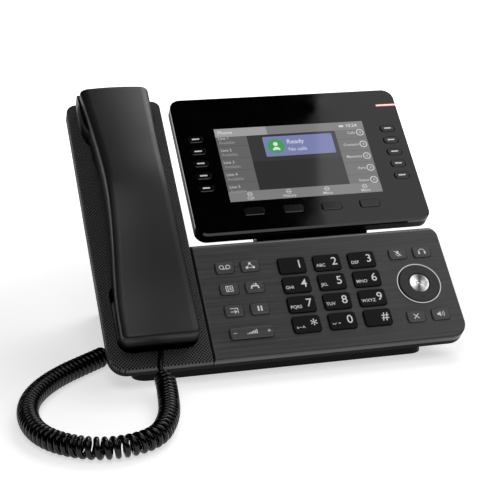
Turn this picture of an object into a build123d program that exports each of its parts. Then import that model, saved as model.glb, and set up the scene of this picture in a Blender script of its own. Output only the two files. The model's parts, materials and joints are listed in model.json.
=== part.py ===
"""Desk telephone with a handset, a tilting colour display and a curly cord.

The base is a panel that slopes up to the back. Nearly everything on it is drawn flat, in
panel coordinates (x to the right, t up the slope from the front edge, h out of the
panel), and on_panel() then turns it by PANEL_TILT and lifts it onto the desk.
World axes: X right, Y to the back, Z up, millimetres, desk at Z = 0.
"""
import os
from math import cos, radians, sin, tan

from build123d import *

# ---- driving dimensions ------------------------------------------------------------
PANEL_TILT = 41.3          # slope of the panel above the desk, degrees
FRONT_Y = -84.3            # world Y of the panel's front edge
FRONT_Z = 15.0             # height of the panel's front edge above the desk

BASE_HALF = 120.7          # half the width of the base
BASE_LENGTH = 209.5        # length of the cradle side up the slope
KEYPAD_LENGTH = 88.1       # length of the keypad side up the slope
SEAM_X = -54.3             # seam between cradle cover and keypad faceplate
SEAM_GAP = 0.7
RIM_DEPTH = 10.4           # height of the visible edge, square to the panel
COVER_SKIRT = 4.7          # part of that edge that belongs to the top covers
COVER_PLATE = 2.4
BELLY_DEPTH = 26.0         # depth of the housing under the panel
BELLY_INSET = 9.0
BELLY_REAR_INSET = 5.0
BELLY_FRONT = 26.0         # where the deep part of the belly starts
SHALLOW_DEPTH = 16.0       # depth of the belly in front of that
WALL = 2.4
FRONT_RADIUS = 12.0
CRADLE_RADIUS = 6.5
KEYPAD_RADIUS = 9.0
INNER_RADIUS = 1.0
ROLL_RADIUS = 4.5          # the faceplate's back edge rolls over with this radius

HANDSET_X = -87.6          # middle of the handset and of its wells
WELL_HALF = 26.2
EAR_WELL_T = 188.0         # centre of the round end of the ear well
EAR_WELL_DEPTH = 15.0
MOUTH_WELL = (11.2, 63.0)  # ends of the mouth well along the slope
MOUTH_WELL_DEPTH = 13.0
PLUNGER_T = 192.0
PLUNGER_RADIUS = 3.5
HANDSET_FRONT = 12.0       # mouth end of the handset along the slope
HANDSET_BACK = 214.0       # ear end of the handset
# the handset's crown as (t, h), and half its width as (half width, t), both from the mouth end
HANDSET_CROWN = ((11.0, 17.0), (36.0, 17.0), (58.0, 20.8), (84.0, 27.0), (120.0, 31.2), (150.0, 27.0),
                 (182.0, 20.8), (215.0, 13.5))
HANDSET_SIDE = ((25.2, 12.0), (24.6, 46.0), (22.3, 78.0), (20.3, 122.0), (21.4, 166.0), (24.2, 214.0))
EAR_POD_RADIUS = 25.2
MOUTH_POD = (19.0, 59.0)           # ends of the mouth pod along the slope
NOSE_UNDERSIDE = 6.0               # the end of the grip overhangs the mouth pod at this height
TOP_SHELL_DEPTH = 9.0
HANDSET_WALL = 2.4
SOCKET_H = 2.2             # height of the handset's cord socket above the panel

DISPLAY_LEFT = -47.7
DISPLAY_FRONT = 93.9       # lower edge of the display along the slope
DISPLAY_WIDTH = 168.4
DISPLAY_HEIGHT = 115.5
DISPLAY_EDGE = 10.0        # thickness of the display at its edge
DISPLAY_BELLY = 19.0       # thickness of the display behind the screen
DISPLAY_RADIUS = 8.0
DISPLAY_BEVEL = 1.3
HUMP_SIZE = (144.4, 81.5)  # the deeper middle of the display's back
HUMP_T_SHIFT = 7.0         # how far the hump sits above the display's middle
HUMP_WALL = 6.0            # room its bevelled sides need
SCREEN_WIDTH = 110.7       # 5 inch, 16:9
SCREEN_HEIGHT = 62.3
SCREEN_LEFT = -20.0
SCREEN_TOP = 181.4
HINGE_T = 100.0
HINGE_H = -16.5
PIN_RADIUS = 2.0
PIN_CLEARANCE = 0.05
BARREL_RADIUS = 5.6
NECK_X = 36.0
NECK_WIDTH = 80.0
KNUCKLE_WIDTH = 4.5

KEY_GAP = 0.35             # gap between a key and the edge of its opening
KEY_RISE = 1.5
KEY_FLANGE = 0.8
FLANGE_DEPTH = 1.6
ROCKER_PIVOT_H = -5.2
ROCKER_SLACK = 0.9         # room above the volume key's flange, so that it can rock
DIAL_COLUMNS = (11.2, 35.85, 60.5)
DIAL_ROWS = (64.8, 49.8, 34.8, 19.7)
DIAL_KEY = (19.0, 12.2, 2.2)       # width, length, corner radius
FUNCTION_COLUMNS = (-34.7, -17.4)
FUNCTION_ROWS = (67.2, 50.9, 34.4)
FUNCTION_KEY = (12.8, 8.2, 2.0)
VOLUME_CENTRE = (-26.3, 17.4)
VOLUME_KEY = (29.4, 8.2, 2.0)
RIGHT_COLUMNS = (87.2, 104.7)
RIGHT_ROWS = (67.0, 17.7)
NAV_CENTRE = (96.1, 42.6)
NAV_RADIUS = 14.2
OK_RADIUS = 7.1
NAV_PIVOT_H = -4.7
NAV_GAP = 0.5              # gap round the navigation key and round the OK key
LINE_COLUMNS = (-34.7, 108.2)
LINE_TOP = 173.2
LINE_PITCH = 10.39
LINE_KEY = (11.2, 5.6, 2.6)
SOFT_LEFT = -5.2
SOFT_PITCH = 27.87
SOFT_T = 110.1
SOFT_KEY = (14.6, 6.0, 1.8)
LIGHT_BAR = (105.0, 194.5, 1.9)    # left end, place along the slope, thickness

STAND_LEFT = -104.0
STAND_RIGHT = 93.0
STAND_FRONT_Y = FRONT_Y + 12.6
STAND_REAR_Y = 70.0
STAND_PLATE = 5.0
STAND_RADIUS = 9.0
STAND_WALL = 3.0
STAND_GAP = 0.4            # between the stand and the housing's underside
TOWER_RIGHT = -68.0
FOOT_RADIUS = 6.0
FOOT_HEIGHT = 1.0

COIL_DIAMETER = 13.4
WIRE_DIAMETER = 3.6
JACK = (-108.0, 66.0)      # the handset jack on the underside, x and t
PLUG_BODY = (7.6, 6.4)
PLUG_STICKS_OUT = 4.0
BOOT_LENGTH = 4.5          # strain relief of the plug in the handset
SOCKET_FIT = 0.3           # room round a plug in its socket
# x, t, width, length and depth of the sockets on the underside: handset, network, PC, power
SOCKETS = ((*JACK, PLUG_BODY[0] + SOCKET_FIT, PLUG_BODY[1] + SOCKET_FIT, 10.0),
           (20.0, 58.0, 13.0, 12.0, 12.0), (42.0, 58.0, 13.0, 12.0, 12.0), (62.0, 58.0, 9.0, 9.0, 12.0))

PANEL_PLACE = Pos(0, FRONT_Y, FRONT_Z) * Rot(PANEL_TILT, 0, 0)


# ---- small helpers -------------------------------------------------------------------
def on_panel(shape):
    """Move a shape drawn in panel coordinates to its place on the desk."""
    return PANEL_PLACE * shape


def panel_point(x, t, h):
    """World coordinates of a point given in panel coordinates."""
    slope = radians(PANEL_TILT)
    return (x, FRONT_Y + t * cos(slope) - h * sin(slope), FRONT_Z + t * sin(slope) + h * cos(slope))


def block(x, t, width, length, radius, bottom, top):
    """A rounded rectangle centred on (x, t), from height bottom to height top."""
    outline = RectangleRounded(width, length, radius) if radius else Rectangle(width, length)
    return Pos(x, t, bottom) * extrude(outline, top - bottom)


def disc(x, t, radius, bottom, top):
    """A round disc centred on (x, t), from height bottom to height top."""
    return Pos(x, t, bottom) * extrude(Circle(radius), top - bottom)


def profile(points, left, right):
    """A closed (t, h) or (y, z) outline drawn out along X from left to right."""
    outline = make_face(Polyline(*[(left, a, b) for a, b in points], close=True))
    return extrude(outline, amount=right - left, dir=(1, 0, 0))


def top_edges(shape, height):
    """The edges of a shape that lie at one height."""
    return shape.edges().filter_by_position(Axis.Z, height - 0.01, height + 0.01)


# ---- base ---------------------------------------------------------------------------------
def base_outline(inset=0.0, front=None, rear=None):
    """The L-shaped plan of the base, shrunk by inset, with rounded corners."""
    low = inset if front is None else front
    back_inset = inset if rear is None else rear
    left, right, seam = -BASE_HALF + inset, BASE_HALF - inset, SEAM_X - inset
    middle, back = KEYPAD_LENGTH - back_inset, BASE_LENGTH - back_inset
    corners = {(left, low): FRONT_RADIUS, (right, low): FRONT_RADIUS, (right, middle): KEYPAD_RADIUS,
               (seam, middle): INNER_RADIUS, (seam, back): CRADLE_RADIUS, (left, back): CRADLE_RADIUS}
    outline = make_face(Polyline(*corners, close=True))
    for (x, t), radius in corners.items():
        vertex = outline.vertices().sort_by_distance((x, t, 0))[0]
        outline = fillet(vertex, max(radius - inset, INNER_RADIUS))
    return outline


def base_layer(bottom, top, inset=0.0, front=None, rear=None):
    """A slab with the base's plan, from height bottom to height top."""
    return Pos(0, 0, bottom) * extrude(base_outline(inset, front, rear), top - bottom)


def ear_well(grow, bottom, top):
    """The ear well: straight sides, a half-round lower end, open through the back edge."""
    half = WELL_HALF + grow
    open_end = BASE_LENGTH + 20
    straight = block(HANDSET_X, (EAR_WELL_T + open_end) / 2, 2 * half, open_end - EAR_WELL_T, 0, bottom, top)
    return straight + disc(HANDSET_X, EAR_WELL_T, half, bottom, top)


def mouth_well(grow, bottom, top):
    """The mouth well: a rounded box."""
    front, back = MOUTH_WELL[0] - grow, MOUTH_WELL[1] + grow
    return block(HANDSET_X, (front + back) / 2, 2 * (WELL_HALF + grow), back - front, 9 + grow, bottom, top)


def base_housing():
    """Lower housing: rim, two-step belly, the black handset wells and the sockets."""
    rim = chamfer(top_edges(base_layer(-RIM_DEPTH, -COVER_SKIRT), -RIM_DEPTH), 1.2)
    ledge = base_layer(-COVER_SKIRT - 1, -COVER_PLATE - 0.1, WALL + 0.2, rear=ROLL_RADIUS + WALL + 0.3)
    shallow = base_layer(-SHALLOW_DEPTH, -8, BELLY_INSET, rear=BELLY_REAR_INSET)
    deep = base_layer(-BELLY_DEPTH, -8, BELLY_INSET, BELLY_FRONT, BELLY_REAR_INSET)
    inner, inner_rear = BELLY_INSET + WALL, BELLY_REAR_INSET + WALL
    shell = rim + ledge + shallow + deep
    shell -= base_layer(WALL - RIM_DEPTH, 1, 2 * WALL + 0.2, rear=ROLL_RADIUS + 2 * WALL)
    shell -= base_layer(WALL - SHALLOW_DEPTH, 0, inner, rear=inner_rear)
    shell -= base_layer(WALL - BELLY_DEPTH, 0, inner, BELLY_FRONT + WALL, inner_rear)
    wells = ear_well(1.8, -EAR_WELL_DEPTH - 2, -COVER_PLATE - 0.1)
    wells += mouth_well(1.8, -MOUTH_WELL_DEPTH - 2, -COVER_PLATE - 0.1)
    shell += wells & base_layer(-BELLY_DEPTH, 0, BELLY_INSET - 2, rear=BELLY_REAR_INSET - 1)
    shell -= ear_well(0, -EAR_WELL_DEPTH, 1) + mouth_well(0, -MOUTH_WELL_DEPTH, 1)
    shell -= disc(HANDSET_X, PLUNGER_T, PLUNGER_RADIUS + 0.3, WALL - BELLY_DEPTH, 1)
    for x, t, width, length, depth in SOCKETS:
        shell += block(x, t, width + 4, length + 4, 0, -BELLY_DEPTH, depth + 2 - BELLY_DEPTH)
        shell -= block(x, t, width, length, 0, -BELLY_DEPTH - 1, depth - BELLY_DEPTH)
    return on_panel(shell)


def cradle_cover():
    """The dimpled cradle cover, with a cut-out over each handset well."""
    right = SEAM_X - SEAM_GAP / 2
    strip = Rectangle(right + BASE_HALF + 1, BASE_LENGTH + 2)
    strip = Pos((right - BASE_HALF - 1) / 2, BASE_LENGTH / 2) * strip
    cover = Pos(0, 0, -COVER_SKIRT) * extrude(base_outline() & strip, COVER_SKIRT)
    cover = fillet(top_edges(cover, 0), 1.4)
    cover -= base_layer(-COVER_SKIRT - 1, -COVER_PLATE, WALL)
    cover -= ear_well(0, -20, 2) + mouth_well(0, -20, 2)
    return on_panel(cover)


def keypad_faceplate():
    """The brushed faceplate; its back edge rolls over, and every key has its opening."""
    left = SEAM_X + SEAM_GAP / 2
    strip = Rectangle(BASE_HALF + 1 - left, KEYPAD_LENGTH)
    strip = Pos((left + BASE_HALF + 1) / 2, KEYPAD_LENGTH / 2) * strip
    plate = Pos(0, 0, -COVER_SKIRT) * extrude(base_outline() & strip, COVER_SKIRT)
    plate = fillet(top_edges(plate, 0), 1.4)
    roll_t = KEYPAD_LENGTH - ROLL_RADIUS
    roll = block(0, roll_t + 3, 2 * BASE_HALF + 10, 6, 0, -ROLL_RADIUS, 1)
    roll -= Pos(0, roll_t, -ROLL_RADIUS) * Rot(0, 90, 0) * Cylinder(ROLL_RADIUS, 2 * BASE_HALF + 12)
    plate -= roll
    plate -= base_layer(-COVER_SKIRT - 1, -COVER_PLATE, WALL, rear=ROLL_RADIUS + WALL)
    for x, t, size in keypad_key_places():
        width, length, radius = size
        gap = 2 * KEY_GAP
        plate -= block(x, t, width + gap, length + gap, radius + KEY_GAP, -COVER_SKIRT, 1)
    plate -= disc(*NAV_CENTRE, NAV_RADIUS + NAV_GAP, -COVER_SKIRT, 1)
    return on_panel(plate)


def keypad_key_places():
    """x, t and size of every rectangular key on the faceplate."""
    dial = [(x, t, DIAL_KEY) for t in DIAL_ROWS for x in DIAL_COLUMNS]
    function = [(x, t, FUNCTION_KEY) for t in FUNCTION_ROWS for x in FUNCTION_COLUMNS]
    right = [(x, t, FUNCTION_KEY) for t in RIGHT_ROWS for x in RIGHT_COLUMNS]
    return dial + function + right + [(*VOLUME_CENTRE, VOLUME_KEY)]


def foot_stand():
    """One-piece stand: a desk plate, a hollow wedge under the keypad, a tower behind."""
    depth = STAND_REAR_Y - STAND_FRONT_Y
    middle_x = (STAND_LEFT + STAND_RIGHT) / 2
    middle_y = (STAND_REAR_Y + STAND_FRONT_Y) / 2
    width = STAND_RIGHT - STAND_LEFT
    plate = Pos(middle_x, middle_y, FOOT_HEIGHT) * extrude(
        RectangleRounded(width, depth, STAND_RADIUS), STAND_PLATE)
    wedge = Pos(middle_x, middle_y, FOOT_HEIGHT) * extrude(RectangleRounded(width, depth, STAND_RADIUS), 150)
    room = Pos(middle_x, middle_y, FOOT_HEIGHT + STAND_PLATE) * extrude(
        RectangleRounded(width - 2 * STAND_WALL, depth - 2 * STAND_WALL, STAND_RADIUS - STAND_WALL), 150)
    walls = (wedge - room) & profile(wedge_profile(), STAND_LEFT - 1, STAND_RIGHT + 1)
    tower = wedge & profile(tower_profile(), STAND_LEFT, TOWER_RIGHT)
    tower -= profile(tower_hollow(), STAND_LEFT + STAND_WALL, TOWER_RIGHT - STAND_WALL)
    return plate + walls + tower


def underside(t, h):
    """World (y, z) of a point under the panel."""
    return panel_point(0, t, h)[1:]


def wedge_profile():
    """Side view of the space between the desk and the housing, under the keypad."""
    rim, shallow, deep = (-depth - STAND_GAP for depth in (RIM_DEPTH, SHALLOW_DEPTH, BELLY_DEPTH))
    step, front = BELLY_INSET - STAND_GAP, STAND_FRONT_Y - 1
    rim_y, rim_z = underside(step, rim)
    top_of_front = rim_z - (rim_y - front) * tan(radians(PANEL_TILT))
    return [(front, 0), (front, top_of_front), (rim_y, rim_z), underside(step, shallow),
            underside(BELLY_FRONT - STAND_GAP, shallow), underside(BELLY_FRONT - STAND_GAP, deep),
            underside(KEYPAD_LENGTH - 12, deep), (underside(KEYPAD_LENGTH - 12, deep)[0], 0)]


def tower_profile():
    """Side view of the tower that carries the back of the cradle."""
    belly = -BELLY_DEPTH - STAND_GAP
    low_y, low_z = underside(95, belly)
    high_y, high_z = underside(168, belly)
    return [(low_y - 30, FOOT_HEIGHT + 1), (low_y, low_z), (high_y, high_z), (STAND_REAR_Y, FOOT_HEIGHT + 1)]


def tower_hollow():
    """The hollow inside the tower, open towards the housing."""
    belly = -BELLY_DEPTH + 2
    low_y, low_z = underside(100, belly)
    high_y, high_z = underside(162, belly)
    return [(low_y - 22, FOOT_HEIGHT + STAND_PLATE), (low_y, low_z), (high_y, high_z),
            (STAND_REAR_Y - 6, FOOT_HEIGHT + STAND_PLATE)]


def rubber_feet():
    """Six round rubber feet let into the stand's plate."""
    feet = []
    for x in (STAND_LEFT + 14, (STAND_LEFT + STAND_RIGHT) / 2, STAND_RIGHT - 14):
        for y in (STAND_FRONT_Y + 14, STAND_REAR_Y - 14):
            feet.append(Pos(x, y, 0) * extrude(Circle(FOOT_RADIUS), FOOT_HEIGHT))
    return Compound(children=feet)


def hook_plunger():
    """The hook switch's plunger, in the floor of the ear well."""
    stem = disc(HANDSET_X, PLUNGER_T, PLUNGER_RADIUS, -EAR_WELL_DEPTH - 4, -EAR_WELL_DEPTH + 1.0)
    flange = disc(HANDSET_X, PLUNGER_T, PLUNGER_RADIUS + 1.5, -EAR_WELL_DEPTH - 7, -EAR_WELL_DEPTH - 5.2)
    neck = disc(HANDSET_X, PLUNGER_T, PLUNGER_RADIUS, -EAR_WELL_DEPTH - 6, -EAR_WELL_DEPTH - 3)
    return on_panel(stem + neck + flange)


def nav_rim():
    """The thin bright ring round the navigation key."""
    ring = disc(*NAV_CENTRE, NAV_RADIUS + 1.2, 0, 0.5) - disc(*NAV_CENTRE, NAV_RADIUS + NAV_GAP, -1, 2)
    return on_panel(ring)


# ---- keys ------------------------------------------------------------------------------------
def key(x, t, size, rise=KEY_RISE, plate=COVER_PLATE, slack=0.15):
    """A key cap with a bevelled top, and a flange that stays slack below the plate."""
    width, length, radius = size
    flange_top = -plate - slack
    flange_bottom = flange_top - FLANGE_DEPTH
    cap = block(x, t, width, length, radius, flange_bottom, rise)
    cap = chamfer(top_edges(cap, rise), 0.45)
    flange = block(x, t, width + 2 * KEY_FLANGE, length + 2 * KEY_FLANGE, radius, flange_bottom, flange_top)
    return on_panel(cap + flange)


def volume_rocker():
    """The long volume key and the round pivot under it, along the slope."""
    x, t = VOLUME_CENTRE
    pivot = Pos(x, t, ROCKER_PIVOT_H) * Rot(90, 0, 0) * Cylinder(0.9, VOLUME_KEY[1] - 1)
    return key(x, t, VOLUME_KEY, slack=ROCKER_SLACK) + on_panel(pivot)


def nav_ring():
    """The round four-way key, free in the middle for the OK key."""
    ring = disc(*NAV_CENTRE, NAV_RADIUS, -3.0, KEY_RISE)
    ring = chamfer(top_edges(ring, KEY_RISE), 0.5)
    return on_panel(ring - disc(*NAV_CENTRE, OK_RADIUS + NAV_GAP, -5, 3))


def nav_gimbal():
    """The ring under the four-way key that lets it rock both ways, with its four trunnions."""
    ring = disc(*NAV_CENTRE, NAV_RADIUS - 2, NAV_PIVOT_H - 0.8, NAV_PIVOT_H + 0.8)
    x, t = NAV_CENTRE
    for turn in (0, 90):
        ring += Pos(x, t, NAV_PIVOT_H) * Rot(0, 0, turn) * Rot(0, 90, 0) * Cylinder(0.6, 2 * NAV_RADIUS - 1)
    return on_panel(ring - disc(*NAV_CENTRE, OK_RADIUS + 2, -8, -2))


def ok_key():
    """The round key in the middle, slightly dished."""
    cap = disc(*NAV_CENTRE, OK_RADIUS, -9.0, KEY_RISE)
    cap = chamfer(top_edges(cap, KEY_RISE), 0.4)
    dish = Pos(*NAV_CENTRE, KEY_RISE + 39.6) * Sphere(40)
    flange = disc(*NAV_CENTRE, OK_RADIUS + 1.2, -10.5, -9.0)
    return on_panel(cap - dish + flange)


# ---- display ---------------------------------------------------------------------------------
DISPLAY_X = DISPLAY_LEFT + DISPLAY_WIDTH / 2
DISPLAY_T = DISPLAY_FRONT + DISPLAY_HEIGHT / 2
SCREEN_X = SCREEN_LEFT + SCREEN_WIDTH / 2
SCREEN_T = SCREEN_TOP - SCREEN_HEIGHT / 2
BEZEL_DEPTH = 3.2
LINE_ROWS = tuple(LINE_TOP - i * LINE_PITCH for i in range(5))
SOFT_COLUMNS = tuple(SOFT_LEFT + i * SOFT_PITCH for i in range(4))


def display_key_places():
    """x, t and size of every key on the display."""
    line = [(x, t, LINE_KEY) for x in LINE_COLUMNS for t in LINE_ROWS]
    return line + [(x, SOFT_T, SOFT_KEY) for x in SOFT_COLUMNS]


def display_bezel():
    """The glossy front: bevelled edge, screen window, key openings, light bar slot."""
    front = block(DISPLAY_X, DISPLAY_T, DISPLAY_WIDTH, DISPLAY_HEIGHT, DISPLAY_RADIUS, -BEZEL_DEPTH, 0)
    front = chamfer(top_edges(front, 0), DISPLAY_BEVEL)
    front -= block(DISPLAY_X, DISPLAY_T, DISPLAY_WIDTH - 5, DISPLAY_HEIGHT - 5, DISPLAY_RADIUS - 2.5,
                   -BEZEL_DEPTH, -2.2)
    front -= block(SCREEN_X, SCREEN_T, SCREEN_WIDTH, SCREEN_HEIGHT, 0, -BEZEL_DEPTH, 1)
    for x, t, (width, length, radius) in display_key_places():
        gap = 2 * KEY_GAP
        front -= block(x, t, width + gap, length + gap, radius + KEY_GAP, -BEZEL_DEPTH, 1)
    return on_panel(front - light_bar_block(0.1))


def display_rear_cover():
    """The back of the display, deeper behind the screen, with two hinge knuckles."""
    edge = block(DISPLAY_X, DISPLAY_T, DISPLAY_WIDTH, DISPLAY_HEIGHT, DISPLAY_RADIUS,
                 -DISPLAY_EDGE, -BEZEL_DEPTH)
    edge = chamfer(top_edges(edge, -DISPLAY_EDGE), 0.5)
    width, length = HUMP_SIZE
    hump = block(DISPLAY_X, DISPLAY_T + HUMP_T_SHIFT, width, length, 12, -DISPLAY_BELLY, -DISPLAY_EDGE + 1)
    hump = chamfer(top_edges(hump, -DISPLAY_BELLY), 5)
    cover = edge + hump
    cover -= block(DISPLAY_X, DISPLAY_T + HUMP_T_SHIFT, width - 2 * HUMP_WALL, length - 2 * HUMP_WALL, 7,
                   WALL - DISPLAY_BELLY, 0)
    cover -= block(DISPLAY_X, DISPLAY_T, DISPLAY_WIDTH - 5, DISPLAY_HEIGHT - 5, DISPLAY_RADIUS - 2.5,
                   WALL - DISPLAY_EDGE, 0)
    for side in (-1, 1):
        x = NECK_X + side * (NECK_WIDTH - KNUCKLE_WIDTH) / 2
        cover += knuckle(x, KNUCKLE_WIDTH)
    return on_panel(cover)


def knuckle(x, width):
    """A hinge knuckle under the display, bored for the pin."""
    left, right = x - width / 2, x + width / 2
    barrel = barrel_piece(left, right, BARREL_RADIUS)
    web = profile([(HINGE_T + 2, HINGE_H), (HINGE_T + 3, -DISPLAY_EDGE + 0.8),
                   (HINGE_T + 14, -DISPLAY_EDGE + 0.8), (HINGE_T + 14, -DISPLAY_EDGE - 2),
                   (HINGE_T + 4, HINGE_H - 3)], left, right)
    return barrel + web - barrel_piece(left - 1, right + 1, PIN_RADIUS + PIN_CLEARANCE)


def barrel_piece(left, right, radius):
    """A cylinder along the hinge axis."""
    return Pos((left + right) / 2, HINGE_T, HINGE_H) * Rot(0, 90, 0) * Cylinder(radius, right - left)


def display_bracket():
    """The neck that carries the display: a full-width wall on the housing and the middle barrel."""
    half = NECK_WIDTH / 2 - KNUCKLE_WIDTH - 0.25
    back = KEYPAD_LENGTH - BELLY_REAR_INSET
    low = -BELLY_DEPTH + 1
    on_housing = [(back + 0.1, -RIM_DEPTH - 0.3), (back + 0.1, low), (back + 8, low)]
    nose = (HINGE_T - 9.4, HINGE_H + 3.9)
    arm = profile([*on_housing, (HINGE_T + 3.3, HINGE_H - 4.4), (HINGE_T - 1.5, HINGE_H + 5.2),
                   (HINGE_T - 6.5, HINGE_H + 2.5), nose], NECK_X - half, NECK_X + half)
    wall = profile([*on_housing, (HINGE_T - 6.1, HINGE_H - 3), (HINGE_T - 6.1, HINGE_H + 2.5), nose],
                   NECK_X - NECK_WIDTH / 2, NECK_X + NECK_WIDTH / 2)
    barrel = barrel_piece(NECK_X - half, NECK_X + half, BARREL_RADIUS)
    bore = barrel_piece(NECK_X - NECK_WIDTH, NECK_X + NECK_WIDTH, PIN_RADIUS + PIN_CLEARANCE)
    return on_panel(barrel + arm + wall - bore)


def hinge_pin():
    """The steel pin through the three barrels."""
    half = NECK_WIDTH / 2
    return on_panel(barrel_piece(NECK_X - half, NECK_X + half, PIN_RADIUS))


def lcd_panel():
    """The colour screen, just behind the window, and the boards behind it."""
    glass = block(SCREEN_X, SCREEN_T, SCREEN_WIDTH - 0.2, SCREEN_HEIGHT - 0.2, 0, -3.4, -0.25)
    frame = block(SCREEN_X, SCREEN_T, SCREEN_WIDTH + 8, SCREEN_HEIGHT + 8, 1, -5.4, -BEZEL_DEPTH)
    width, length = (side - 2 * HUMP_WALL - 6 for side in HUMP_SIZE)
    boards = block(DISPLAY_X, DISPLAY_T + HUMP_T_SHIFT, width, length, 1, WALL - DISPLAY_BELLY + 0.4, -5)
    return on_panel(glass + frame + boards)


def light_bar_block(grow):
    """The light bar's solid, flush with the front and the right-hand edge."""
    left, t, thickness = LIGHT_BAR
    right = DISPLAY_LEFT + DISPLAY_WIDTH
    width, length = right - left + 2 * grow, thickness + 2 * grow
    bar = block((left + right) / 2 + grow, t, width, length, 0, -2.2, 0.1 + grow)
    corner = profile([(t - 5, 0.2), (t - 5, 4), (t + 5, 4), (t + 5, 0.2)], left - 2, right + 4)
    return bar - corner if not grow else bar


def light_bar():
    """The message light, cut to the bevel at the right-hand edge."""
    outline = block(DISPLAY_X, DISPLAY_T, DISPLAY_WIDTH, DISPLAY_HEIGHT, DISPLAY_RADIUS, -BEZEL_DEPTH, 0.05)
    outline = chamfer(top_edges(outline, 0.05), DISPLAY_BEVEL)
    return on_panel(light_bar_block(0) & outline)


# ---- handset -----------------------------------------------------------------------------------
def crown(drop):
    """The handset's crown line in the (t, h) plane, lowered by drop."""
    return Spline(*[(0, t, h - drop) for t, h in HANDSET_CROWN])


def under_crown(drop, floor=-60):
    """All the space below the crown line lowered by drop, as wide as the cradle."""
    line = crown(drop)
    front, back = HANDSET_CROWN[0][0], HANDSET_CROWN[-1][0]
    sides = Polyline(line @ 1, (0, back, floor), (0, front, floor), line @ 0)
    area = extrude(make_face([line, sides]), amount=80, dir=(1, 0, 0))
    return Pos(HANDSET_X - 40, 0, 0) * area


def handset_plan(inset):
    """The handset from above: two wide ends and a narrower waist."""
    front, back = HANDSET_FRONT + inset, HANDSET_BACK - inset
    side = [(half - inset, t) for half, t in HANDSET_SIDE]
    side[0], side[-1] = (side[0][0], front), (side[-1][0], back)
    right = Spline(*side)
    left = Spline(*[(-half, t) for half, t in reversed(side)])
    ends = [Line(right @ 1, left @ 0), Line(left @ 1, right @ 0)]
    outline = make_face([right, ends[0], left, ends[1]])
    return fillet(outline.vertices(), 5.0)


def handset_solid(inset):
    """The whole handset, shrunk by inset: crowned grip plus ear and mouth pods."""
    body = Pos(HANDSET_X, 0, -30) * extrude(handset_plan(inset), 80)
    front, back = HANDSET_FRONT, HANDSET_BACK
    nose = NOSE_UNDERSIDE + inset
    pod_front = MOUTH_POD[0] + inset
    grip = profile([(front - 1, nose), (pod_front, nose), (pod_front, 2 + inset), (64, 2 + inset),
                    (84, 12 + inset), (140, 12 + inset),
                    (160, 2 + inset), (back + 1, 2 + inset), (back + 1, 60), (front - 1, 60)],
                   HANDSET_X - 40, HANDSET_X + 40)
    pods = disc(HANDSET_X, EAR_WELL_T, EAR_POD_RADIUS - inset, -12 + inset, 12)
    pods += block(HANDSET_X, (EAR_WELL_T + HANDSET_BACK) / 2 - inset / 2, 2 * (EAR_POD_RADIUS - 0.2 - inset),
                  HANDSET_BACK - EAR_WELL_T - inset, 0, -12 + inset, 12)
    pods &= under_crown(TOP_SHELL_DEPTH + 0.6 + inset)
    length = MOUTH_POD[1] - MOUTH_POD[0]
    pods += block(HANDSET_X, sum(MOUTH_POD) / 2, 2 * (WELL_HALF - 2.2 - inset), length - 2 * inset,
                  8 - inset, -9 + inset, 6)
    return (body & grip & under_crown(inset)) + pods


def handset_top_shell():
    """The upper shell, above the parting line."""
    shell = handset_solid(0) - handset_solid(HANDSET_WALL)
    return on_panel(shell - under_crown(TOP_SHELL_DEPTH))


def handset_bottom_shell():
    """The lower shell, with the earpiece holes, the microphone slot and the cord socket."""
    shell = (handset_solid(0) - handset_solid(HANDSET_WALL)) & under_crown(TOP_SHELL_DEPTH)
    shell -= disc(HANDSET_X, EAR_WELL_T, 16, -13, -11.2)
    for ring_radius, count in ((0, 1), (4.5, 6), (9.0, 12)):
        for i in range(count):
            spot = Rot(0, 0, i * 360 / count) * Pos(ring_radius, 0, 0)
            hole = Pos(HANDSET_X, EAR_WELL_T, -13) * spot * extrude(Circle(1.0), 6)
            shell -= hole
    for offset in (-4, 0, 4):
        shell -= block(HANDSET_X + offset, 30, 1.6, 7, 0.7, -10, -5)
    housing = block(HANDSET_X, MOUTH_POD[0] + 7, PLUG_BODY[0] + 4, 14, 0, SOCKET_H - 5.2, SOCKET_H + 5)
    shell += housing & under_crown(TOP_SHELL_DEPTH) & handset_solid(0)
    shell -= Pos(HANDSET_X, MOUTH_POD[0] + 4, SOCKET_H) * Box(PLUG_BODY[0] + 0.3, 17.6, 5.8 + 0.3)
    return on_panel(shell)


def plug_handset():
    """The modular plug in the handset, with its ribbed strain relief."""
    body = Pos(HANDSET_X, MOUTH_POD[0] + 5.5, SOCKET_H) * Box(PLUG_BODY[0], 11, 5.8)
    boot = Rot(90, 0, 0) * Cone(2.8, 2.1, BOOT_LENGTH)
    boot = Pos(HANDSET_X, MOUTH_POD[0] - BOOT_LENGTH / 2, SOCKET_H) * boot
    return on_panel(body + boot)


def plug_base():
    """The modular plug in the base's jack."""
    x, t = JACK
    body = block(x, t, *PLUG_BODY, 0, -BELLY_DEPTH - 1, -BELLY_DEPTH + 9)
    boot = Pos(x, t, -BELLY_DEPTH - 2.5) * Cylinder(2.4, 3.0)
    return on_panel(body + boot)


# ---- cord --------------------------------------------------------------------------------------
COIL_AXIS_Z = COIL_DIAMETER / 2 + 0.15
COIL_ROUTE = [(-89.0, -94.5, 12.6), (-90.5, -112.0, COIL_AXIS_Z), (-97.0, -146.0, COIL_AXIS_Z),
              (-112.0, -174.5, COIL_AXIS_Z), (-147.0, -179.0, COIL_AXIS_Z), (-175.5, -152.0, COIL_AXIS_Z),
              (-178.0, -107.0, COIL_AXIS_Z), (-158.0, -69.0, COIL_AXIS_Z), (-119.0, -37.5, COIL_AXIS_Z)]


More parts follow.
